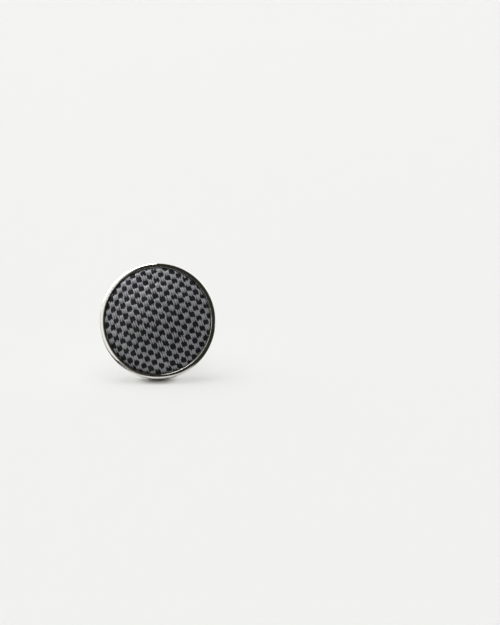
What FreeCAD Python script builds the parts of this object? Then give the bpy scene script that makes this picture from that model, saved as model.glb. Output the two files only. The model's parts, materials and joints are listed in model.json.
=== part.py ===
import FreeCAD, Part
import math
import os

# A round cufflink: a cloth-covered button glued into a polished cup, with a post and a swivel toggle behind it.
# Each piece is built on a bench frame: the post's axis runs along +Y, the cup's rim lies in the plane y = 0 and
# the face looks along -Y. The pieces are then leaned back and set down on z = 0, where the back corner of the cup
# and the tip of the toggle touch the ground. All sizes are in millimetres.

# Cup
RIM_RADIUS = 9.0
CUP_DEPTH = 4.0
CUP_WALL = 0.65
CUP_FLOOR = 0.6
RIM_INNER_ROUND = 0.08
RIM_OUTER_ROUND = 0.25
RIM_CROWN_RADIUS = 1.35
CUP_BACK_ROUND = 0.8
FOOT_RECESS = 0.2

# Covered button
DOME_RADIUS = 15.5
CLOTH_THICKNESS = 0.35
SHELL_THICKNESS = 0.5
SHELL_SHOULDER_ROUND = 0.25
SKIRT_HEIGHT = 1.5
BACK_PLATE_THICKNESS = 0.5
GLUE_THICKNESS = 0.25
BUTTON_SIDE_GAP = 0.05
TUCK_GAP = 0.05
GLUE_MARGIN = 0.2

# Post
FOOT_RADIUS = 3.5
FOOT_HEIGHT = 0.7
FOOT_ROUND = 0.25
FOOT_SIDE_GAP = 0.05
POST_THICKNESS = 1.8
POST_EDGE_ROUND = 0.3
EYE_WALL = 0.58
CAM_RISE = 0.08
FLARE_SPREAD = 0.6
FLARE_LENGTH = 1.5
TENON_SHOULDER = 0.25
TENON_GAP = 0.02

# Toggle
TOGGLE_LENGTH = 18.0
TOGGLE_WALL = 0.5
TOGGLE_FOOT_GAP = 0.3
SLOT_SIDE_GAP = 0.1
SLOT_BEVEL = 0.12
STOP_GAP = 0.08
SPIGOT_LENGTH = 1.0
SEAM_BEVEL = 0.1
PIN_RADIUS = 0.6
PIN_RUNNING_GAP = 0.04
PIN_CROWN = 0.08
LEAF_THICKNESS = 0.2
LEAF_WIDTH = 1.7
LEAF_BOW = 0.38
LEAF_CAM_GAP = 0.02
LEAF_BORE_GAP = 0.02
LEAF_END_GAP = 0.1
LEAF_MIDDLE = 3.2
LEAF_LAND = 0.7

# The cup's rim and the covered button inside it, measured back from the plane of the rim. The lip is highest at
# its inner edge and falls away from there in one arc.
CUP_BORE = RIM_RADIUS - CUP_WALL
RIM_INNER_R = CUP_BORE + RIM_INNER_ROUND
RIM_OUTER_R = RIM_RADIUS - RIM_OUTER_ROUND
RIM_SLOPE = math.asin((RIM_OUTER_R - RIM_INNER_R) / (RIM_CROWN_RADIUS - RIM_OUTER_ROUND))
RIM_OUTER_Y = RIM_CROWN_RADIUS - (RIM_CROWN_RADIUS - RIM_OUTER_ROUND) * math.cos(RIM_SLOPE)
CLOTH_RADIUS = CUP_BORE - BUTTON_SIDE_GAP
SHELL_RADIUS = CLOTH_RADIUS - CLOTH_THICKNESS
SHELL_BORE = SHELL_RADIUS - SHELL_THICKNESS
BACK_PLATE_RADIUS = SHELL_BORE - CLOTH_THICKNESS
SHELL_DOME = DOME_RADIUS - CLOTH_THICKNESS
SHELL_INNER_DOME = SHELL_DOME - SHELL_THICKNESS
ROLL_RADIUS = SHELL_THICKNESS / 2
ROLL_MIDDLE = SHELL_BORE + ROLL_RADIUS
CUP_FLOOR_Y = CUP_DEPTH - CUP_FLOOR
BUTTON_BACK_Y = CUP_FLOOR_Y - GLUE_THICKNESS
ROLL_Y = BUTTON_BACK_Y - ROLL_RADIUS - CLOTH_THICKNESS
SKIRT_TOP_Y = ROLL_Y - SKIRT_HEIGHT
DOME_CENTRE_Y = SKIRT_TOP_Y + math.sqrt(SHELL_INNER_DOME ** 2 - SHELL_BORE ** 2)
TUCK_Y = SKIRT_TOP_Y + TUCK_GAP
SHOULDER_R = SHELL_RADIUS - SHELL_SHOULDER_ROUND
SHOULDER_REACH = SHELL_DOME - SHELL_SHOULDER_ROUND
SHOULDER_Y = DOME_CENTRE_Y - math.sqrt(SHOULDER_REACH ** 2 - SHOULDER_R ** 2)
SHOULDER_ANGLE = math.degrees(math.atan2(SHOULDER_Y - DOME_CENTRE_Y, SHOULDER_R))

# The post and the toggle on its pin
FOOT_SEAT_Y = CUP_DEPTH - FOOT_RECESS
FOOT_BACK_Y = CUP_DEPTH + FOOT_HEIGHT
POST_HALF_WIDTH = PIN_RADIUS + PIN_RUNNING_GAP + EYE_WALL
POST_HALF_THICKNESS = POST_THICKNESS / 2
CAM_RADIUS = POST_HALF_WIDTH + CAM_RISE
FLARE_TOP_Y = FOOT_BACK_Y + FLARE_LENGTH
FLARE_RADIUS = (FLARE_SPREAD ** 2 + FLARE_LENGTH ** 2) / (2 * FLARE_SPREAD)
TOGGLE_HALF = TOGGLE_LENGTH / 2
PIN_Y = FLARE_TOP_Y + TOGGLE_FOOT_GAP + TOGGLE_HALF
POST_END_Y = PIN_Y + POST_HALF_WIDTH
LEAF_FACE = CAM_RADIUS + LEAF_CAM_GAP
LEAF_END_FACE = LEAF_FACE + LEAF_BOW
TOGGLE_BORE = math.hypot(LEAF_END_FACE + LEAF_THICKNESS, LEAF_WIDTH / 2) + LEAF_BORE_GAP
TOGGLE_RADIUS = TOGGLE_BORE + TOGGLE_WALL
BAR_HALF = TOGGLE_HALF - TOGGLE_RADIUS
SLOT_HALF = POST_HALF_THICKNESS + SLOT_SIDE_GAP
SLOT_STOP = POST_HALF_WIDTH + STOP_GAP
SLOT_MOUTH = math.sqrt(TOGGLE_RADIUS ** 2 - SLOT_HALF ** 2)

# The lean: a straight ground line touches both the cup's rounded back corner and the toggle's round tip
CORNER_Y = CUP_DEPTH - CUP_BACK_ROUND
CORNER_R = RIM_RADIUS - CUP_BACK_ROUND
TIP_Y = PIN_Y + BAR_HALF
TIP_SPAN = math.hypot(TIP_Y - CORNER_Y, CORNER_R)
LEAN = math.atan2(CORNER_R, TIP_Y - CORNER_Y) - math.asin((TOGGLE_RADIUS - CUP_BACK_ROUND) / TIP_SPAN)
LIFT = CORNER_Y * math.sin(LEAN) + CORNER_R * math.cos(LEAN) + CUP_BACK_ROUND
CROWN_FRONT = RIM_CROWN_RADIUS * math.cos(LEAN) - RIM_INNER_R * math.sin(LEAN) - RIM_CROWN_RADIUS
EDGE_FRONT = RIM_OUTER_Y * math.cos(LEAN) - RIM_OUTER_R * math.sin(LEAN) - RIM_OUTER_ROUND
RIM_FRONT = CROWN_FRONT if LEAN < RIM_SLOPE else EDGE_FRONT
DOME_FRONT = DOME_CENTRE_Y * math.cos(LEAN) - DOME_RADIUS
TIP_BACK = TIP_Y * math.cos(LEAN) + TOGGLE_RADIUS
SHIFT = -(min(RIM_FRONT, DOME_FRONT) + TIP_BACK) / 2

SAME_POINT = 1e-6
ORIGIN = FreeCAD.Vector(0, 0, 0)
ALONG_X = FreeCAD.Vector(1, 0, 0)
ALONG_Y = FreeCAD.Vector(0, 1, 0)
ALONG_Z = FreeCAD.Vector(0, 0, 1)


def arc(centre, radius, start, end):
    """Three points of an arc in the plane of an outline, between two angles in degrees."""
    points = []
    for angle in (start, (start + end) / 2, end):
        turn = math.radians(angle)
        points.append((centre[0] + radius * math.cos(turn), centre[1] + radius * math.sin(turn)))
    return points


def outline(items):
    """A closed face in the XY plane from corner points and arcs, with straight lines between them."""
    stretches = [item if isinstance(item, list) else [item] for item in items]
    edges = []
    for stretch, following in zip(stretches, stretches[1:] + stretches[:1]):
        points = [FreeCAD.Vector(u, v, 0) for u, v in stretch]
        if len(points) == 3:
            edges.append(Part.Arc(*points).toShape())
        end = FreeCAD.Vector(*following[0], 0)
        if points[-1].distanceToPoint(end) > SAME_POINT:
            edges.append(Part.LineSegment(points[-1], end).toShape())
    return Part.Face(Part.Wire(edges))


def turned(items):
    """A solid turned about the post's axis, from an outline of (radius, y) points."""
    return outline(items).revolve(ORIGIN, ALONG_Y, 360)


def block(low, high):
    """A rectangular block between two corners."""
    size = [b - a for a, b in zip(low, high)]
    return Part.makeBox(*size, FreeCAD.Vector(*low))


def bezel_cup():
    recess = FOOT_RADIUS + FOOT_SIDE_GAP
    crown_end = 270 + math.degrees(RIM_SLOPE)
    return turned([
        (0, CUP_FLOOR_Y),
        (CUP_BORE, CUP_FLOOR_Y),
        arc((RIM_INNER_R, RIM_INNER_ROUND), RIM_INNER_ROUND, 180, 270),
        arc((RIM_INNER_R, RIM_CROWN_RADIUS), RIM_CROWN_RADIUS, 270, crown_end),
        arc((RIM_OUTER_R, RIM_OUTER_Y), RIM_OUTER_ROUND, crown_end, 360),
        arc((CORNER_R, CORNER_Y), CUP_BACK_ROUND, 0, 90),
        (recess, CUP_DEPTH),
        (recess, FOOT_SEAT_Y),
        (0, FOOT_SEAT_Y),
    ])


def dome_arc(radius, angle):
    """From the middle of the dome out to its shoulder."""
    return arc((0, DOME_CENTRE_Y), radius, -90, angle)


def fabric_cover():
    shoulder = (SHOULDER_R, SHOULDER_Y)
    roll = (ROLL_MIDDLE, ROLL_Y)
    return turned([
        dome_arc(DOME_RADIUS, SHOULDER_ANGLE),
        arc(shoulder, SHELL_SHOULDER_ROUND + CLOTH_THICKNESS, SHOULDER_ANGLE, 0),
        arc(roll, ROLL_RADIUS + CLOTH_THICKNESS, 0, 180),
        (BACK_PLATE_RADIUS, TUCK_Y),
        (SHELL_BORE, TUCK_Y),
        arc(roll, ROLL_RADIUS, 180, 0),
        arc(shoulder, SHELL_SHOULDER_ROUND, 0, SHOULDER_ANGLE),
        dome_arc(SHELL_DOME, SHOULDER_ANGLE)[::-1],
    ])


def button_shell():
    edge_angle = math.degrees(math.atan2(SKIRT_TOP_Y - DOME_CENTRE_Y, SHELL_BORE))
    return turned([
        dome_arc(SHELL_DOME, SHOULDER_ANGLE),
        arc((SHOULDER_R, SHOULDER_Y), SHELL_SHOULDER_ROUND, SHOULDER_ANGLE, 0),
        arc((ROLL_MIDDLE, ROLL_Y), ROLL_RADIUS, 0, 180),
        dome_arc(SHELL_INNER_DOME, edge_angle)[::-1],
    ])


def button_back():
    flange_bore = BACK_PLATE_RADIUS - BACK_PLATE_THICKNESS
    plate_front = BUTTON_BACK_Y - BACK_PLATE_THICKNESS
    return turned([
        (0, plate_front),
        (flange_bore, plate_front),
        (flange_bore, TUCK_Y),
        (BACK_PLATE_RADIUS, TUCK_Y),
        (BACK_PLATE_RADIUS, BUTTON_BACK_Y),
        (0, BUTTON_BACK_Y),
    ])


def glue_pad():
    radius = ROLL_MIDDLE - GLUE_MARGIN
    return turned([
        (0, BUTTON_BACK_Y),
        (radius, BUTTON_BACK_Y),
        (radius, CUP_FLOOR_Y),
        (0, CUP_FLOOR_Y),
    ])


def tenon(gap):
    """The post's staked end in the foot, or with a gap the hole for it."""
    half_width = POST_HALF_WIDTH - TENON_SHOULDER + gap
    half_thickness = POST_HALF_THICKNESS - TENON_SHOULDER + gap
    return block((-half_width, FOOT_SEAT_Y, -half_thickness), (half_width, FOOT_BACK_Y, half_thickness))


def post_foot():
    disc = turned([
        (0, FOOT_SEAT_Y),
        (FOOT_RADIUS, FOOT_SEAT_Y),
        arc((FOOT_RADIUS - FOOT_ROUND, FOOT_BACK_Y - FOOT_ROUND), FOOT_ROUND, 0, 90),
        (0, FOOT_BACK_Y),
    ])
    return disc.cut(tenon(TENON_GAP))


def flared_strip(half):
    """The post seen from one side: a strip that spreads towards the foot, with an arc along each edge."""
    spread_angle = math.degrees(math.asin(FLARE_LENGTH / FLARE_RADIUS))
    reach = half + FLARE_RADIUS
    return outline([
        arc((reach, FLARE_TOP_Y), FLARE_RADIUS, 180 + spread_angle, 180),
        (half, POST_END_Y),
        (-half, POST_END_Y),
        arc((-reach, FLARE_TOP_Y), FLARE_RADIUS, 0, -spread_angle),
    ])


def post_blade():
    deep = CAM_RADIUS + FLARE_SPREAD + FLARE_LENGTH
    across = ALONG_Z * (2 * deep)
    front = flared_strip(POST_HALF_WIDTH).translate(ALONG_Z * -deep).extrude(across)
    side = flared_strip(POST_HALF_THICKNESS).translate(ALONG_Z * -deep).extrude(across)
    side.rotate(ORIGIN, ALONG_Y, 90)
    blade = front.common(side)
    long_edges = [e for e in blade.Edges if e.BoundBox.YLength > FLARE_LENGTH / 2]
    blade = blade.makeFillet(POST_EDGE_ROUND, long_edges)
    cam = Part.makeCylinder(CAM_RADIUS, 2 * deep, FreeCAD.Vector(0, PIN_Y, -deep), ALONG_Z)
    shank = block((-deep, FOOT_BACK_Y, -deep), (deep, PIN_Y, deep))
    blade = blade.common(shank.fuse(cam))
    eye = Part.makeCylinder(PIN_RADIUS + PIN_RUNNING_GAP, 2 * deep, FreeCAD.Vector(0, PIN_Y, -deep), ALONG_Z)
    return blade.cut(eye).fuse(tenon(0)).removeSplitter()


def slot_mouth():
    """The flared mouth that bevels the slot's edges, cut across at the front seam."""
    floor = SLOT_MOUTH - SLOT_BEVEL
    top = SLOT_MOUTH + SLOT_BEVEL
    flare = SLOT_HALF + 2 * SLOT_BEVEL
    section = outline([(-floor, -SLOT_HALF), (-top, -flare), (-top, flare), (-floor, SLOT_HALF)])
    section.rotate(ORIGIN, ALONG_X, 90)
    section.translate(ALONG_Y * (PIN_Y - BAR_HALF))
    return section


def toggle_bar():
    tube = turned([
        (TOGGLE_BORE, PIN_Y - BAR_HALF),
        (TOGGLE_RADIUS - SEAM_BEVEL, PIN_Y - BAR_HALF),
        (TOGGLE_RADIUS, PIN_Y - BAR_HALF + SEAM_BEVEL),
        (TOGGLE_RADIUS, PIN_Y + BAR_HALF - SEAM_BEVEL),
        (TOGGLE_RADIUS - SEAM_BEVEL, PIN_Y + BAR_HALF),
        (TOGGLE_BORE, PIN_Y + BAR_HALF),
    ])
    slot = block((-TOGGLE_RADIUS, PIN_Y - BAR_HALF, -SLOT_HALF), (0, PIN_Y + SLOT_STOP, SLOT_HALF))
    pin_hole = Part.makeCylinder(
        PIN_RADIUS, 2 * TOGGLE_RADIUS, FreeCAD.Vector(0, PIN_Y, -TOGGLE_RADIUS), ALONG_Z)
    mouth = slot_mouth().extrude(ALONG_Y * (BAR_HALF + SLOT_STOP))
    return tube.cut(slot).cut(mouth).cut(pin_hole)


def toggle_cap_rear():
    seam = PIN_Y + BAR_HALF
    bevel_angle = math.degrees(math.asin(SEAM_BEVEL / TOGGLE_RADIUS))
    return turned([
        (0, seam - SPIGOT_LENGTH),
        (TOGGLE_BORE, seam - SPIGOT_LENGTH),
        (TOGGLE_BORE, seam),
        (TOGGLE_RADIUS - SEAM_BEVEL, seam),
        arc((0, seam), TOGGLE_RADIUS, bevel_angle, 90),
    ])


def toggle_cap_front():
    middle = FreeCAD.Vector(0, PIN_Y, 0)
    cap = toggle_cap_rear()
    cap.rotate(middle, ALONG_Z, 180)
    slot = block(
        (-TOGGLE_RADIUS, PIN_Y - TOGGLE_HALF, -SLOT_HALF), (SLOT_STOP, PIN_Y, SLOT_HALF))
    mouth_turn = math.degrees(math.acos(-SLOT_STOP / SLOT_MOUTH))
    mouth = slot_mouth().revolve(ALONG_Y * (PIN_Y - BAR_HALF), ALONG_Z, mouth_turn)
    return cap.cut(slot).cut(mouth)


def pivot_pin():
    side = math.sqrt(TOGGLE_RADIUS ** 2 - PIN_RADIUS ** 2)
    rise = TOGGLE_RADIUS + PIN_CROWN - side
    crown_radius = (PIN_RADIUS ** 2 + rise ** 2) / (2 * rise)
    crown_angle = math.degrees(math.acos(PIN_RADIUS / crown_radius))
    crown_middle = side + rise - crown_radius
    pin = turned([
        arc((0, -crown_middle), crown_radius, -90, -crown_angle),
        arc((0, crown_middle), crown_radius, crown_angle, 90),
    ])
    pin.rotate(ORIGIN, ALONG_X, 90)
    pin.translate(ALONG_Y * PIN_Y)
    return pin


def leaf_spring():
    half = BAR_HALF - SPIGOT_LENGTH - LEAF_END_GAP
    stations = [
        (LEAF_END_FACE, -half),
        (LEAF_END_FACE, LEAF_LAND - half),
        (LEAF_FACE, -LEAF_MIDDLE / 2),
        (LEAF_FACE, LEAF_MIDDLE / 2),
        (LEAF_END_FACE, half - LEAF_LAND),
        (LEAF_END_FACE, half),
    ]
    inner = [(x, PIN_Y + y) for x, y in stations]
    outer = [(x + LEAF_THICKNESS, y) for x, y in reversed(inner)]
    leaf = outline(inner + outer).extrude(ALONG_Z * LEAF_WIDTH)
    leaf.translate(ALONG_Z * (-LEAF_WIDTH / 2))
    return leaf


PIECES = [
    bezel_cup, fabric_cover, button_shell, button_back, glue_pad, post_foot, post_blade,
    toggle_bar, toggle_cap_front, toggle_cap_rear, pivot_pin, leaf_spring,
]


def set_down(shape):
    """Leans a piece back from the bench frame and stands it on the ground."""
    shape.rotate(ORIGIN, ALONG_X, -math.degrees(LEAN))
    shape.translate(FreeCAD.Vector(0, SHIFT, LIFT))
    return shape


def main():
    os.makedirs("parts", exist_ok=True)
    for piece in PIECES:
        shape = set_down(piece())
        solids = shape.Solids
        if len(solids) != 1 or not solids[0].isValid():
            raise ValueError(f"{piece.__name__} is not one sound solid")
        solids[0].exportStep(f"parts/{piece.__name__}.step")
        print(f"{piece.__name__}: {solids[0].Volume:.3f} mm3")
    print(f"lean {math.degrees(LEAN):.3f} degrees")


if __name__ == "__main__":
    main()
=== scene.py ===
import json
import math

import bpy
import numpy as np
from mathutils import Matrix, Vector
from mathutils.geometry import delaunay_2d_cdt


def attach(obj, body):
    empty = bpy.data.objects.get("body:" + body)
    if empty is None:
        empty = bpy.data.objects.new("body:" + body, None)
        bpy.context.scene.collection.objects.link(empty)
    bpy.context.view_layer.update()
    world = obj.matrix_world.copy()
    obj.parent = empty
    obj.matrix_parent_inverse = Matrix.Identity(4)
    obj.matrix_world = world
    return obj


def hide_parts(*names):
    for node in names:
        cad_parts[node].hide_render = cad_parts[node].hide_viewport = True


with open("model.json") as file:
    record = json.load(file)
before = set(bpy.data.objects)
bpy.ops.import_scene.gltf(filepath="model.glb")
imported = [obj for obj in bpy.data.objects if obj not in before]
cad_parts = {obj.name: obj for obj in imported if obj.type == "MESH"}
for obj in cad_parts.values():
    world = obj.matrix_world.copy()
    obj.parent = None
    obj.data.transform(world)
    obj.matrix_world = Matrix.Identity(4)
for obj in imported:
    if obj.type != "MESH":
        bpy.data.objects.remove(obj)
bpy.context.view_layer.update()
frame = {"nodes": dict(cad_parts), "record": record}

# A cufflink with a woven check face in a polished silver cup. Sizes are millimetres on the maker's bench,
# where the middle of the rim is the origin, Y is the post's axis and the face looks along -Y. Angles are in
# degrees.
MM = 0.001

# The view: the rim's middle and radius as the photograph has them, in pixels
PICTURE_WIDTH = 500
PICTURE_HEIGHT = 625
RIM_PIXEL_X = 157.65
RIM_PIXEL_Y = 320.85
RIM_PIXEL_RADIUS = 57.9
VIEW_AZIMUTH = 0.5
VIEW_ELEVATION = 14.6
LENS = 100.0
SENSOR = 36.0
NEAR_CLIP = 10.0

# The cover's shape: over the dome and shoulder, down the skirt, round the shell's edge and up its inside
DOME_RADIUS = 15.5
SHOULDER_ROUND = 0.25
EDGE_ROUND = 0.6
TAIL_LENGTH = 1.45
FULL_FROM = 5.8
SIDE_FULLNESS = 0.2
TOP_FULLNESS = 0.32

# The cover's mesh: a lattice along the yarns, a narrow band around it and rings over the hidden cloth
WOVEN_PAST_SHOULDER = 0.05
BAND_WIDTH = 0.1
POINTS_PER_CHECK = 15
SPARE_CHECKS = 2
RING_POINTS = 720
ROLL_RINGS = 5
SAME_PLACE = 1e-9
TRIANGLES_INSIDE = 1

# The cover's maps: checks along weft and warp, and a disc from 0 to 1 with less room for hidden cloth
WEAVE_MAP = "weave"
BAKE_MAP = "OFBake"
MAP_MIDDLE = 0.5
HIDDEN_SHRINK = 0.2

# The weave: one check along the weft and one along the warp, each as millimetres to the right and up
WEFT_CHECK = (0.880, 0.218)
WARP_CHECK = (0.279, -0.8077)
CROWN_CHECKS = (0.519, 0.015)

# How strongly the cloth is drawn askew, to the right and up
SIDE_PULL = (0.0028, 0)
LEFT_PULL = (0.007, -0.009)
LEFT_SPREAD = (0, 0.002)
TOP_PULL = (0.006, 0.0006)
PULL_ROUNDS = 8

# The yarns: lengths along a float are shares of a check, and rises are millimetres
YARNS_PER_CHECK = 5
FLOAT_EXTRA = -0.01
ALTERNATE_EXTRA = 0.06
RAGGED = 0.22
SLIDE = 0.16
YARN_RISE = 0.09
YARN_ROUND = 0.9
FLOAT_RISE = 0.1
SCATTER = 97.31
SCATTER_X = 1.913
SCATTER_Y = 5.371

# The cloth's finish: tones lie between a yarn's dark and light colours, and scales count spots to a check
WARP_DARK = (0.07, 0.07, 0.075, 1)
WARP_VIOLET = (0.308, 0.303, 0.33, 1)
WARP_GREEN = (0.294, 0.308, 0.309, 1)
WARP_TONE = 0.16
FLOAT_TONE = 0.45
ALTERNATE_TONE = 0.24
WARP_FIBRE_TONE = 0.5
# Painted sheen: the warp grey turns paler towards the cover's edge, between these shares of the map's
# radius
EDGE_SHEEN_REACH = (0.35, 0.85)
EDGE_SHEEN_TONE = 0.3
# Painted shade: how far along a warp float, and how strongly, its lower end is darkened as if shaded from
# light above
LOWER_END_SHADE_REACH = (0.1, 1.1)
LOWER_END_SHADE_TONE = 0.5
WEFT_DARK = (0.001, 0.001, 0.002, 1)
WEFT_LIGHT = (0.016, 0.016, 0.02, 1)
PICK_TONE = 0.7
WEFT_FIBRE_TONE = 0.6
# Painted shade: how much the valleys between yarns are darkened
VALLEY_SHADE_TONE = 0.4
VALLEY_POWER = 4
TINT_SCALE = 0.25
TINT_DETAIL = 1.0
TINT_EDGE = (0.4, 0.6)
FIBRES_ACROSS = 40
FIBRES_ALONG = 6
FIBRE_DETAIL = 3.0
FIBRE_BUMP = 0.5
FIBRE_DEPTH = 0.01
CLOTH_ROUGHNESS = 0.55
CLOTH_SPECULAR = 0.1
FLOAT_GLOSS_ROUGHNESS = 0.42
FLOAT_GLOSS_IOR = 1.6
CLOTH_SHEEN = 0.3
SHEEN_ROUGHNESS = 0.4

# The metals and the glue: scales count spots to a millimetre
SILVER_CLEAN = (0.86, 0.85, 0.82, 1)
SILVER_SMUDGED = (0.8, 0.785, 0.75, 1)
SMUDGE_SCALE = 0.45
SMUDGE_DETAIL = 3.0
SMUDGE_ROUGHNESS = 0.1
HAIRLINE_SCALES = (9.0, 1.2, 0.8)
HAIRLINE_DETAIL = 2.0
HAIRLINE_EDGE = (0.6, 0.7)
MIRROR_ROUGHNESS = 0.03
SCRATCH_ROUGHNESS = 0.16
SCRATCH_BUMP = 0.06
SCRATCH_DEPTH = 0.004
BUTTON_DARK = (0.6, 0.6, 0.61, 1)
BUTTON_LIGHT = (0.75, 0.75, 0.76, 1)
BUTTON_ROUGHNESS = 0.25
BUTTON_GRAIN = (0.9, 0.9, 0.9)
SPRING_DARK = (0.28, 0.3, 0.36, 1)
SPRING_LIGHT = (0.5, 0.51, 0.54, 1)
SPRING_ROUGHNESS = 0.2
SPRING_GRAIN = (9.0, 0.5, 0.5)
GRAIN_DETAIL = 3.0
GRAIN_ROUGHNESS = 0.15
GLUE_CLEAR = (0.62, 0.5, 0.28, 1)
GLUE_CLOUDY = (0.78, 0.7, 0.5, 1)
GLUE_ROUGHNESS = 0.2
CLOUD_SCALE = 0.9
CLOUD_DETAIL = 3.0
CLOUD_ROUGHNESS = 0.2

# The paper floor: how far its shadow and the pale places that mirrors show on it reach
PAPER = (0.866, 0.866, 0.848, 1)
PAPER_ROUGHNESS = 0.9
FLOOR_REACH = 20000.0
SHADOW_FILL = 0.65
SHADOW_REACH = (0.9, 3.8)
CARD_REACH = (26.0, 45.0)
CARD_HALF = (5.0, 9.0)
PALE_LEFT = (20.0, 30.0)
PALE_BEHIND = (0.0, 15.0)

# The light: an aim is an azimuth and an elevation, an edge holds cosines of the angle from an aim, and
# the sill holds sines of its elevation
BACKDROP = (0.914, 0.917, 0.892, 1)
AMBIENT = (0.34, 0.34, 0.34, 1)
ROOM = (0.027, 0.025, 0.019, 1)
WINDOW = (1.0, 1.0, 0.96, 1)
WINDOW_AIM = (-90, 0)
WINDOW_EDGE = (0.14, 0.26)
WINDOW_SILL = (0.06, 0.14)
BEHIND_AIM = (180, 0)
BEHIND_EDGE = (0.65, 0.92)
SOFTBOX = (8.5, 8.5, 8.3, 1)
SOFTBOX_AIM = (-127, 48)
SOFTBOX_EDGE = (0.8, 0.88)
KEY_STRENGTH = 2.2
KEY_WIDTH = 70.0
KEY_AIM = (-55, 82)

# Sockets of a Mix node that blends colours
MIX_FACTOR = 0
MIX_FIRST = 6
MIX_SECOND = 7
MIX_RESULT = 2


def bench_frame(record):
    """From bench millimetres to the part's own frame, by the rim's middle and the post's and pin's axes."""
    mount = next(m for m in record["mounts"] if m["name"] == "cup_back")
    post = Vector(mount["axis"]).normalized()
    pin = Vector(record["behaviour"]["joints"][0]["axis"]).normalized()
    back = Vector(mount["pos_m"])
    rim_depth = min(v.co.dot(post) for v in frame["nodes"]["bezel_cup"].data.vertices)
    rim = back + post * (rim_depth - back.dot(post))
    turn = Matrix((post.cross(pin), post, pin)).transposed()
    return Matrix.Translation(rim) @ turn.to_4x4() @ Matrix.Scale(MM, 4)


bench = bench_frame(frame["record"])


def on_bench(node):
    """A CAD node's points as radius from the post's axis and depth behind the rim."""
    back = bench.inverted()
    points = np.array([back @ v.co for v in frame["nodes"][node].data.vertices])
    return np.hypot(points[:, 0], points[:, 2]), points[:, 1]


def added(name, data):
    """A new object in the scene."""
    made = bpy.data.objects.new(name, data)
    bpy.context.scene.collection.objects.link(made)
    return made


# Node trees
class Value:
    """A socket that can be used in sums: each operation adds a Math node."""

    def __init__(self, graph, socket):
        self.graph = graph
        self.socket = socket

    def __add__(self, other):
        return self.graph.math("ADD", self, other)

    def __radd__(self, other):
        return self.graph.math("ADD", other, self)

    def __sub__(self, other):
        return self.graph.math("SUBTRACT", self, other)

    def __rsub__(self, other):
        return self.graph.math("SUBTRACT", other, self)

    def __mul__(self, other):
        return self.graph.math("MULTIPLY", self, other)

    def __rmul__(self, other):
        return self.graph.math("MULTIPLY", other, self)

    def __truediv__(self, other):
        return self.graph.math("DIVIDE", self, other)

    def __pow__(self, other):
        return self.graph.math("POWER", self, other)

    def __abs__(self):
        return self.graph.math("ABSOLUTE", self)

    def __lt__(self, other):
        return self.graph.math("LESS_THAN", self, other)


class Graph:
    """The node tree of a material or of the world."""

    def __init__(self, owner):
        owner.use_nodes = True
        self.tree = owner.node_tree
        self.tree.nodes.clear()

    def node(self, kind, settings, sockets, output=0):
        """Any node, with its settings and the values or links of its sockets."""
        made = self.tree.nodes.new(kind)
        for name, setting in settings.items():
            setattr(made, name, setting)
        for key, value in sockets.items():
            if isinstance(value, Value):
                self.tree.links.new(value.socket, made.inputs[key])
            else:
                made.inputs[key].default_value = value
        return Value(self, made.outputs[output]) if made.outputs else None

    def math(self, operation, *values):
        return self.node("ShaderNodeMath", {"operation": operation}, dict(enumerate(values)))

    def vector(self, operation, *values):
        """Vector maths with a vector as its result."""
        return self.node("ShaderNodeVectorMath", {"operation": operation}, dict(enumerate(values)))

    def measure(self, operation, *values):
        """Vector maths with a number as its result."""
        settings = {"operation": operation}
        return self.node("ShaderNodeVectorMath", settings, dict(enumerate(values)), "Value")

    def part(self, vector, axis):
        """One part of a vector: 0, 1 or 2."""
        return self.node("ShaderNodeSeparateXYZ", {}, {"Vector": vector}, axis)

    def mix(self, factor, first, second):
        """A colour between two."""
        sockets = {MIX_FACTOR: factor, MIX_FIRST: first, MIX_SECOND: second}
        return self.node("ShaderNodeMix", {"data_type": "RGBA"}, sockets, MIX_RESULT)

    def step(self, value, low, high):
        """0 below low, 1 above high and a smooth step between."""
        sockets = {"Value": value, "From Min": low, "From Max": high}
        return self.node("ShaderNodeMapRange", {"interpolation_type": "SMOOTHSTEP"}, sockets)

    def noise(self, vector, scale, detail):
        return self.node("ShaderNodeTexNoise", {}, {"Vector": vector, "Scale": scale, "Detail": detail})

    def streaks(self, vector, scales, detail):
        """Noise with a scale of its own along each axis."""
        return self.noise(self.vector("MULTIPLY", vector, scales), 1.0, detail)

    def place(self):
        """Where a point lies in its object's frame, in millimetres."""
        return self.vector("DIVIDE", self.node("ShaderNodeTexCoord", {}, {}, "Object"), (MM, MM, MM))

    def uv(self, name):
        return self.node("ShaderNodeUVMap", {"uv_map": name}, {})

    def ray(self, kind):
        """1 for rays of one kind, and 0 for others."""
        return self.node("ShaderNodeLightPath", {}, {}, f"Is {kind} Ray")

    def bump(self, height, strength, depth):
        sockets = {"Height": height, "Strength": strength, "Distance": depth * MM}
        return self.node("ShaderNodeBump", {}, sockets)

    def surface(self, sockets):
        return self.node("ShaderNodeBsdfPrincipled", {}, sockets)

    def glow(self, colour):
        """A surface that shows a colour as it is written."""
        return self.node("ShaderNodeEmission", {}, {"Color": colour, "Strength": 1.0})

    def blend(self, factor, first, second):
        """One surface where the factor is 0 and another where it is 1."""
        return self.node("ShaderNodeMixShader", {}, {0: factor, 1: first, 2: second})


def painted(finish):
    """A material with the name of the function that makes its shader."""
    material = bpy.data.materials.new(finish.__name__)
    graph = Graph(material)
    graph.node("ShaderNodeOutputMaterial", {}, {"Surface": finish(graph)})
    return material


# The weave, for points and for sockets alike
def floor(x):
    return x.graph.math("FLOOR", x) if isinstance(x, Value) else np.floor(x)


def sine(x):
    return x.graph.math("SINE", x) if isinstance(x, Value) else np.sin(x)


def share(x):
    """What a number has above its whole part."""
    return x - floor(x)


def scattered(x, y):
    """A number from 0 to 1 that differs from one pair of whole numbers to the next."""
    return share(SCATTER * sine(SCATTER_X * x + SCATTER_Y * y))


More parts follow.
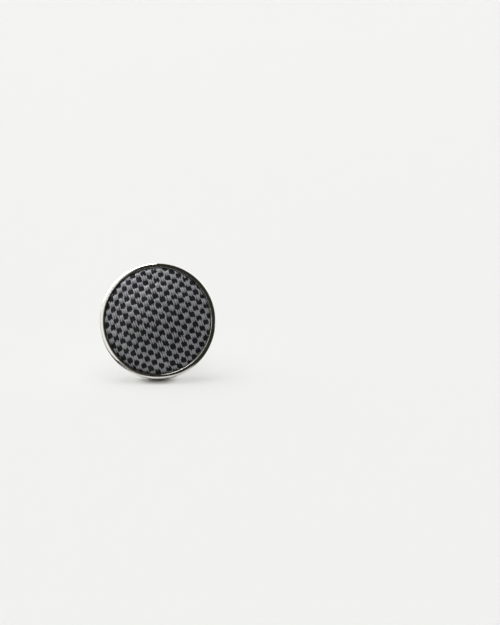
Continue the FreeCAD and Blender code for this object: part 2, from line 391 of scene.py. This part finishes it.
def alternate_yarn(u):
    """1 on the first, third and fifth yarn of a check and -1 on the others."""
    return 1 - 4 * share(floor(share(u) * YARNS_PER_CHECK) / 2)


def repeat_along(u, v):
    """Which repeat of over and under, two checks long, a warp yarn is in. A float is in its middle."""
    return (v + floor(u) - 0.5) / 2


def float_tone(u, v):
    """A number from 0 to 1 that differs from one warp float to the next."""
    return scattered(floor(u * YARNS_PER_CHECK), floor(repeat_along(u, v)))


def along_float(u, v):
    """Where a place lies along its warp yarn: 0 halfway a float, 1 and -1 halfway a dip."""
    slide = SLIDE * (scattered(floor(repeat_along(u, v)), floor(u * YARNS_PER_CHECK)) - 0.5)
    return 2 * share(repeat_along(u, v)) - 1 + slide


def half_float(u, v):
    """Half the length of a warp float: every other yarn runs past the check, and all are ragged."""
    return 0.5 + FLOAT_EXTRA + ALTERNATE_EXTRA * alternate_yarn(u) + RAGGED * (float_tone(u, v) - 0.5)


def along_warp(u, v):
    """Where a place lies on its warp float, with the float's ends at 1 and -1."""
    return along_float(u, v) / half_float(u, v)


def warp_shows(u, v):
    """1 where the grey warp floats over the dark weft, and 0 where the weft does."""
    return abs(along_float(u, v)) < half_float(u, v)


# The weave's relief, for points alone
def yarn_crown(across):
    """The rounded top of a yarn: 1 on its middle and less at its sides."""
    return np.sqrt(1 - YARN_ROUND * (2 * across - 1) ** 2)


def float_arch(along):
    """A float is highest halfway, at 0, and dives at its ends, at 1 and -1."""
    return 1 - along ** 2


def weave_height(u, v):
    """Height of the woven surface, with the top of a float as 0."""
    warp = warp_shows(u, v)
    across = np.where(warp, share(u * YARNS_PER_CHECK), share(v * YARNS_PER_CHECK))
    along = np.where(warp, along_warp(u, v), 2 * share(u) - 1)
    return YARN_RISE * (yarn_crown(across) - 1) + FLOAT_RISE * (float_arch(along) - 1)


# The cover
class CoverLine:
    """The cover's outer line by length from its crown: three arcs, the last two followed by a line."""

    def __init__(self):
        radius, depth = on_bench("fabric_cover")
        shoulder_r = radius.max() - SHOULDER_ROUND
        dome_y = depth.min() + DOME_RADIUS
        shoulder_y = dome_y - math.sqrt((DOME_RADIUS - SHOULDER_ROUND) ** 2 - shoulder_r ** 2)
        roll_r = radius.max() - EDGE_ROUND
        roll_y = depth.max() - EDGE_ROUND
        tilt = math.atan2(shoulder_y - dome_y, shoulder_r)
        self.dome_end = DOME_RADIUS * (tilt + math.pi / 2)
        self.shoulder_end = self.dome_end - SHOULDER_ROUND * tilt
        self.woven_reach = self.shoulder_end + WOVEN_PAST_SHOULDER
        self.first_ring = self.woven_reach + BAND_WIDTH
        self.roll_start = self.shoulder_end + roll_y - shoulder_y
        self.tail_start = self.roll_start + EDGE_ROUND * math.pi
        self.length = self.tail_start + TAIL_LENGTH
        self.arcs = [
            (0, (0, dome_y), DOME_RADIUS, -math.pi / 2, tilt),
            (self.dome_end, (shoulder_r, shoulder_y), SHOULDER_ROUND, tilt, 0),
            (self.roll_start, (roll_r, roll_y), EDGE_ROUND, 0, math.pi),
        ]

    def at(self, length):
        """Radius, depth and the outward normal's two parts at lengths of cloth."""
        found = 0
        for start, centre, size, first, last in self.arcs:
            past = length - start
            turn = np.clip(first + past / size, first, last)
            straight = np.maximum(past - size * (last - first), 0)
            radius = centre[0] + size * np.cos(turn) - straight * math.sin(last)
            depth = centre[1] + size * np.sin(turn) + straight * math.cos(last)
            arc = np.stack([radius, depth, np.cos(turn), np.sin(turn)])
            found = np.where(past >= 0, arc, found)
        return found

    def fullness(self, length):
        """How far padding fills the cloth out: 1 at the shoulder, 0 in the middle and down the skirt."""
        rise = np.clip((length - FULL_FROM) / (self.dome_end - FULL_FROM), 0, 1)
        fall = np.clip((self.roll_start - length) / (self.roll_start - self.shoulder_end), 0, 1)
        return rise ** 2 * (3 - 2 * rise) * fall

    def fade(self, length):
        """How far the weave's relief has faded: 0 up to the shoulder and 1 past it."""
        return np.clip((length - self.dome_end) / (self.shoulder_end - self.dome_end), 0, 1)


def pulled(plain):
    """Where places of the cloth end up as it is pulled over the button: its left side and top go askew."""
    side = plain[..., :1] * np.abs(plain[..., :1])
    left = np.minimum(plain[..., :1], 0) ** 2
    top = np.maximum(plain[..., 1:], 0) ** 2
    return plain + side * SIDE_PULL + left * LEFT_PULL + left * plain * LEFT_SPREAD + top * TOP_PULL


def to_checks(flat):
    """Places on the pulled cloth, in millimetres from the crown, as checks along weft and warp."""
    plain = flat
    for _ in range(PULL_ROUNDS):
        plain = plain + flat - pulled(plain)
    return plain @ np.linalg.inv([WEFT_CHECK, WARP_CHECK]) + CROWN_CHECKS


def woven_lattice(reach):
    """Flat places and square faces of a lattice along the yarns that fills a circle."""
    axes = np.array([WEFT_CHECK, WARP_CHECK])
    checks = math.ceil(reach / np.linalg.norm(axes, axis=1).min()) + SPARE_CHECKS
    steps = np.arange(-checks * POINTS_PER_CHECK, checks * POINTS_PER_CHECK + 1)
    grid = np.stack(np.meshgrid(steps, steps, indexing="ij"), axis=-1) / POINTS_PER_CHECK
    flat = pulled((grid - CROWN_CHECKS) @ axes)
    inside = np.hypot(flat[..., 0], flat[..., 1]) < reach
    whole = inside[:-1, :-1] & inside[1:, :-1] & inside[:-1, 1:] & inside[1:, 1:]
    i, j = np.nonzero(whole)
    corners = [(i, j), (i, j + 1), (i + 1, j + 1), (i + 1, j)]
    used = np.zeros_like(inside)
    for corner in corners:
        used[corner] = True
    number = np.cumsum(used).reshape(used.shape) - 1
    return flat[used], np.stack([number[corner] for corner in corners], axis=1)


def outer_edges(faces):
    """The edges that belong to one face only."""
    edges = np.stack([faces, np.roll(faces, -1, axis=1)], axis=-1).reshape(-1, 2)
    index, counts = np.unique(np.sort(edges, axis=1), axis=0, return_index=True, return_counts=True)[1:]
    return edges[index[counts == 1]]


def lattice_cells(flat):
    """Which cell of the lattice each flat place lies in."""
    return np.floor(to_checks(flat) * POINTS_PER_CHECK).astype(int)


def outer_band(flat, faces, circle):
    """Triangles between the lattice's stepped edge and a circle of places that follow it."""
    edges = outer_edges(faces)
    stepped = np.unique(edges)
    places = np.concatenate([flat[stepped], circle])
    inner = np.searchsorted(stepped, edges).tolist()
    outer = [(len(stepped) + k, len(stepped) + (k + 1) % len(circle)) for k in range(len(circle))]
    filled = {tuple(cell) for cell in lattice_cells(flat[faces].mean(axis=1))}
    number = np.concatenate([stepped, len(flat) + np.arange(len(circle))])
    corners = [Vector(place) for place in places]
    _, _, triangles, *_ = delaunay_2d_cdt(corners, inner + outer, [], TRIANGLES_INSIDE, SAME_PLACE)
    band = []
    for triangle in triangles:
        if tuple(lattice_cells(places[triangle].mean(axis=0))) not in filled:
            band.append(number[triangle].tolist())
    return band


def flat_cover(line):
    """Places and faces of the cloth laid flat: the lattice, its band and the rings out to its edge."""
    around = np.arange(RING_POINTS) * (2 * math.pi / RING_POINTS)
    circle = np.stack([np.cos(around), np.sin(around)], axis=1)
    rolled = np.linspace(line.roll_start, line.tail_start, ROLL_RINGS + 1)
    stops = [line.first_ring, *rolled, line.length]
    flat, quads = woven_lattice(line.woven_reach)
    faces = quads.tolist() + outer_band(flat, quads, circle * line.first_ring)
    for ring in range(len(stops) - 1):
        start = len(flat) + ring * RING_POINTS
        for k in range(RING_POINTS):
            here = start + k
            beside = start + (k + 1) % RING_POINTS
            faces.append([here, here + RING_POINTS, beside + RING_POINTS, beside])
    return np.concatenate([flat, *(circle * stop for stop in stops)]), faces


def cover_points(line, length, aim, checks):
    """The cloth's points in the part's frame: along its line, filled out and with the weave's relief."""
    radius, depth, outward, backward = line.at(length)
    depth = depth - (SIDE_FULLNESS + TOP_FULLNESS * aim[:, 1]) * line.fullness(length)
    fade = line.fade(length)
    height = weave_height(checks[:, 0], checks[:, 1]) * (1 - fade) - fade * (YARN_RISE + FLOAT_RISE) / 2
    radius = radius + height * outward
    points = [radius * aim[:, 0], depth + height * backward, radius * aim[:, 1], np.ones(len(length))]
    return (np.stack(points, axis=1) @ np.array(bench).T)[:, :3]


def cover_mesh(line):
    """The woven cover as one open sheet, from its crown to its tucked edge, with its two maps."""
    flat, faces = flat_cover(line)
    length = np.hypot(flat[:, 0], flat[:, 1])
    aim = flat / np.maximum(length, SAME_PLACE)[:, None]
    checks = to_checks(flat)
    mesh = bpy.data.meshes.new("woven_cover")
    mesh.from_pydata(cover_points(line, length, aim, checks).tolist(), [], faces)
    corner = np.empty(len(mesh.loops), int)
    mesh.loops.foreach_get("vertex_index", corner)
    shown = np.minimum(length, line.first_ring) + HIDDEN_SHRINK * np.maximum(length - line.first_ring, 0)
    disc = MAP_MIDDLE + MAP_MIDDLE * aim * (shown / shown.max())[:, None]
    for name, places in ((BAKE_MAP, disc), (WEAVE_MAP, checks)):
        mesh.uv_layers.new(name=name).data.foreach_set("uv", places[corner].ravel())
    mesh.shade_smooth()
    return mesh


# The cloth on the cover
def yarn_valley(w):
    """1 in the valleys between yarns, where shade is painted into the colour, and 0 on their middles."""
    return abs(2 * share(w * YARNS_PER_CHECK) - 1) ** VALLEY_POWER


def warp_colour(graph, weave, u, v, fibre):
    """Grey that differs from float to float, with painted shade on each float's lower end and painted sheen
    that makes it paler towards the cover's edge.
    """
    middle = (MAP_MIDDLE, MAP_MIDDLE, 0)
    from_middle = graph.measure("DISTANCE", graph.uv(BAKE_MAP), middle) / MAP_MIDDLE
    # Painted sheen: paler towards the cover's edge
    edge = graph.step(from_middle, *EDGE_SHEEN_REACH)
    # Painted shade: darker towards the lower end of each warp float
    lower_end_shade = graph.step(along_warp(u, v), *LOWER_END_SHADE_REACH)
    tone = WARP_TONE + FLOAT_TONE * float_tone(u, v) + ALTERNATE_TONE * alternate_yarn(u)
    tone = tone + EDGE_SHEEN_TONE * edge + WARP_FIBRE_TONE * fibre
    # Painted shade: darker in the valleys between yarns and towards each float's lower end
    tone = tone - VALLEY_SHADE_TONE * yarn_valley(u) - LOWER_END_SHADE_TONE * lower_end_shade
    tint = graph.step(graph.noise(weave, TINT_SCALE, TINT_DETAIL), *TINT_EDGE)
    return graph.mix(tone, WARP_DARK, graph.mix(tint, WARP_VIOLET, WARP_GREEN))


def weft_colour(graph, u, v, fibre):
    """Nearly black, a little different from one pick to the next, with painted shade in the valleys between
    yarns.
    """
    pick = scattered(floor(v * YARNS_PER_CHECK), floor(u))
    # Painted shade: darker in the valleys between yarns
    tone = PICK_TONE * pick + WEFT_FIBRE_TONE * fibre - VALLEY_SHADE_TONE * yarn_valley(v)
    return graph.mix(tone, WEFT_DARK, WEFT_LIGHT)


def check_cloth(graph):
    """Silk with a grey warp, glossy on its floats, and a nearly black weft."""
    weave = graph.uv(WEAVE_MAP)
    u = graph.part(weave, 0)
    v = graph.part(weave, 1)
    warp = warp_shows(u, v)
    warp_fibre = graph.streaks(weave, (FIBRES_ACROSS, FIBRES_ALONG, 1), FIBRE_DETAIL)
    weft_fibre = graph.streaks(weave, (FIBRES_ALONG, FIBRES_ACROSS, 1), FIBRE_DETAIL)
    grey = warp_colour(graph, weave, u, v, warp_fibre)
    dark = weft_colour(graph, u, v, weft_fibre)
    fibre = warp * warp_fibre + (1 - warp) * weft_fibre
    return graph.surface({
        "Base Color": graph.mix(warp, dark, grey),
        "Roughness": CLOTH_ROUGHNESS,
        "Specular IOR Level": CLOTH_SPECULAR,
        "Coat Weight": warp,
        "Coat Roughness": FLOAT_GLOSS_ROUGHNESS,
        "Coat IOR": FLOAT_GLOSS_IOR,
        "Sheen Weight": CLOTH_SHEEN,
        "Sheen Roughness": SHEEN_ROUGHNESS,
        "Normal": graph.bump(fibre, FIBRE_BUMP, FIBRE_DEPTH),
    })


def cover():
    """The woven sheet in place of the cover's plain solid."""
    line = CoverLine()
    piece = added("woven_cover", cover_mesh(line))
    piece.data.materials.append(painted(check_cloth))
    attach(piece, "face")
    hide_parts("fabric_cover")


# Finishes of the CAD nodes that stay
def polished_silver(graph):
    """Mirror-polished plate with smudges and fine handling scratches."""
    place = graph.place()
    smudge = graph.noise(place, SMUDGE_SCALE, SMUDGE_DETAIL)
    scratch = graph.step(graph.streaks(place, HAIRLINE_SCALES, HAIRLINE_DETAIL), *HAIRLINE_EDGE)
    return graph.surface({
        "Base Color": graph.mix(smudge, SILVER_CLEAN, SILVER_SMUDGED),
        "Metallic": 1.0,
        "Roughness": MIRROR_ROUGHNESS + SMUDGE_ROUGHNESS * smudge + SCRATCH_ROUGHNESS * scratch,
        "Normal": graph.bump(scratch, SCRATCH_BUMP, SCRATCH_DEPTH),
    })


def grained_metal(graph, dark, light, roughness, scales):
    """Plain metal with a grain, by its scales."""
    grain = graph.streaks(graph.place(), scales, GRAIN_DETAIL)
    return graph.surface({
        "Base Color": graph.mix(grain, dark, light),
        "Metallic": 1.0,
        "Roughness": roughness + GRAIN_ROUGHNESS * grain,
    })


def button_metal(graph):
    """Plain pressed sheet."""
    return grained_metal(graph, BUTTON_DARK, BUTTON_LIGHT, BUTTON_ROUGHNESS, BUTTON_GRAIN)


def spring_steel(graph):
    """Blued strip with a fine grain along its length."""
    return grained_metal(graph, SPRING_DARK, SPRING_LIGHT, SPRING_ROUGHNESS, SPRING_GRAIN)


def cured_glue(graph):
    """Clear amber epoxy, a little cloudy."""
    cloud = graph.noise(graph.place(), CLOUD_SCALE, CLOUD_DETAIL)
    return graph.surface({
        "Base Color": graph.mix(cloud, GLUE_CLEAR, GLUE_CLOUDY),
        "Roughness": GLUE_ROUGHNESS + CLOUD_ROUGHNESS * cloud,
    })


def dress_nodes():
    """A finish for each CAD node that stays, by the name of its slot."""
    finishes = {}
    for finish in (polished_silver, button_metal, spring_steel, cured_glue):
        finishes[finish.__name__] = painted(finish)
    for subpart in frame["record"]["subparts"]:
        if subpart["material_slot"] in finishes:
            for place in frame["nodes"][subpart["node"]].material_slots:
                place.material = finishes[subpart["material_slot"]]


# The stage, the light and the view
def aim_from(azimuth, elevation):
    """The unit vector towards a place that is seen at an azimuth and an elevation."""
    turn = math.radians(azimuth)
    rise = math.radians(elevation)
    return Vector((math.sin(turn) * math.cos(rise), -math.cos(turn) * math.cos(rise), math.sin(rise)))


def pale_paper(graph):
    """White paper, lit evenly for the camera but not under the rim. Mirrors see it partly dark."""
    place = graph.place()
    touch = min((v.co for v in frame["nodes"]["bezel_cup"].data.vertices), key=lambda spot: spot.z)
    away = graph.measure("DISTANCE", place, tuple(touch / MM))
    fill = SHADOW_FILL * graph.step(away, *SHADOW_REACH)
    lit = graph.surface({"Base Color": PAPER, "Roughness": PAPER_ROUGHNESS})
    shown = graph.blend(fill * graph.ray("Camera"), lit, graph.glow(PAPER))
    near = 1 - graph.step(graph.measure("LENGTH", place), *CARD_REACH)
    card = near * (1 - graph.step(abs(graph.part(place, 0)), *CARD_HALF))
    left = graph.step(-1 * graph.part(place, 0), *PALE_LEFT)
    behind = graph.step(graph.part(place, 1), *PALE_BEHIND)
    dark = (1 - card) * (1 - left) * (1 - behind)
    return graph.blend(dark * graph.ray("Glossy"), shown, graph.glow(ROOM))


def stage():
    """The paper floor."""
    mesh = bpy.data.meshes.new("floor")
    reach = FLOOR_REACH * MM
    corners = [(x * reach, y * reach, 0) for x, y in ((-1, -1), (1, -1), (1, 1), (-1, 1))]
    mesh.from_pydata(corners, [], [(0, 1, 2, 3)])
    mesh.materials.append(painted(pale_paper))
    added("floor", mesh)


def soft_key():
    """A wide soft lamp from nearly overhead, a little to the left, that mirrors don't show."""
    lamp = bpy.data.lights.new("soft_key", "SUN")
    lamp.energy = KEY_STRENGTH
    lamp.angle = math.radians(KEY_WIDTH)
    key = added("soft_key", lamp)
    key.rotation_euler = aim_from(*KEY_AIM).to_track_quat("Z", "Y").to_euler()
    key.visible_glossy = False


def side_of_room(graph, aim, middle, edge):
    """1 around one aim in the room and 0 away from it, with a soft edge."""
    return graph.step(graph.measure("DOT_PRODUCT", aim, tuple(aim_from(*middle))), *edge)


def studio():
    """A pale room, even for matt surfaces. In mirrors it is dark, with a window, a softbox and a wall."""
    world = bpy.data.worlds.new("studio")
    bpy.context.scene.world = world
    graph = Graph(world)
    aim = graph.node("ShaderNodeTexCoord", {}, {}, "Generated")
    above_sill = graph.step(graph.part(aim, 2), *WINDOW_SILL)
    window = above_sill * side_of_room(graph, aim, WINDOW_AIM, WINDOW_EDGE)
    wall = side_of_room(graph, aim, BEHIND_AIM, BEHIND_EDGE)
    softbox = side_of_room(graph, aim, SOFTBOX_AIM, SOFTBOX_EDGE)
    mirrored = graph.mix(window, graph.mix(wall, ROOM, PAPER), WINDOW)
    lit = graph.mix(graph.ray("Glossy"), AMBIENT, graph.mix(softbox, mirrored, SOFTBOX))
    straight = graph.math("MAXIMUM", graph.ray("Camera"), graph.ray("Transmission"))
    colour = graph.mix(straight, lit, BACKDROP)
    background = graph.node("ShaderNodeBackground", {}, {"Color": colour, "Strength": 1.0})
    graph.node("ShaderNodeOutputWorld", {}, {"Surface": background})


def camera():
    """The photograph's view: the rim's middle is put on its pixel, with no roll."""
    radius = on_bench("bezel_cup")[0].max()
    pixel = SENSOR / PICTURE_HEIGHT / LENS
    reach = radius * MM / (RIM_PIXEL_RADIUS * pixel)
    aside = (RIM_PIXEL_X - PICTURE_WIDTH / 2) * pixel
    above = (PICTURE_HEIGHT / 2 - RIM_PIXEL_Y) * pixel
    slant = math.sqrt(1 + aside ** 2 + above ** 2)
    drop = -math.sin(math.radians(VIEW_ELEVATION)) * slant
    pitch = math.asin(drop / math.hypot(1, above)) - math.atan(above)
    yaw = math.radians(VIEW_AZIMUTH) + math.atan2(aside, math.cos(pitch) - above * math.sin(pitch))
    lens = bpy.data.cameras.new("camera")
    lens.lens = LENS
    lens.sensor_width = SENSOR
    lens.clip_start = NEAR_CLIP * MM
    seat = added("camera", lens)
    seat.location = bench.translation + aim_from(VIEW_AZIMUTH, VIEW_ELEVATION) * reach * slant
    seat.rotation_euler = (math.pi / 2 + pitch, 0, yaw)
    bpy.context.scene.camera = seat


bpy.context.scene.view_settings.view_transform = "Standard"
camera()
stage()
soft_key()
studio()
dress_nodes()
cover()
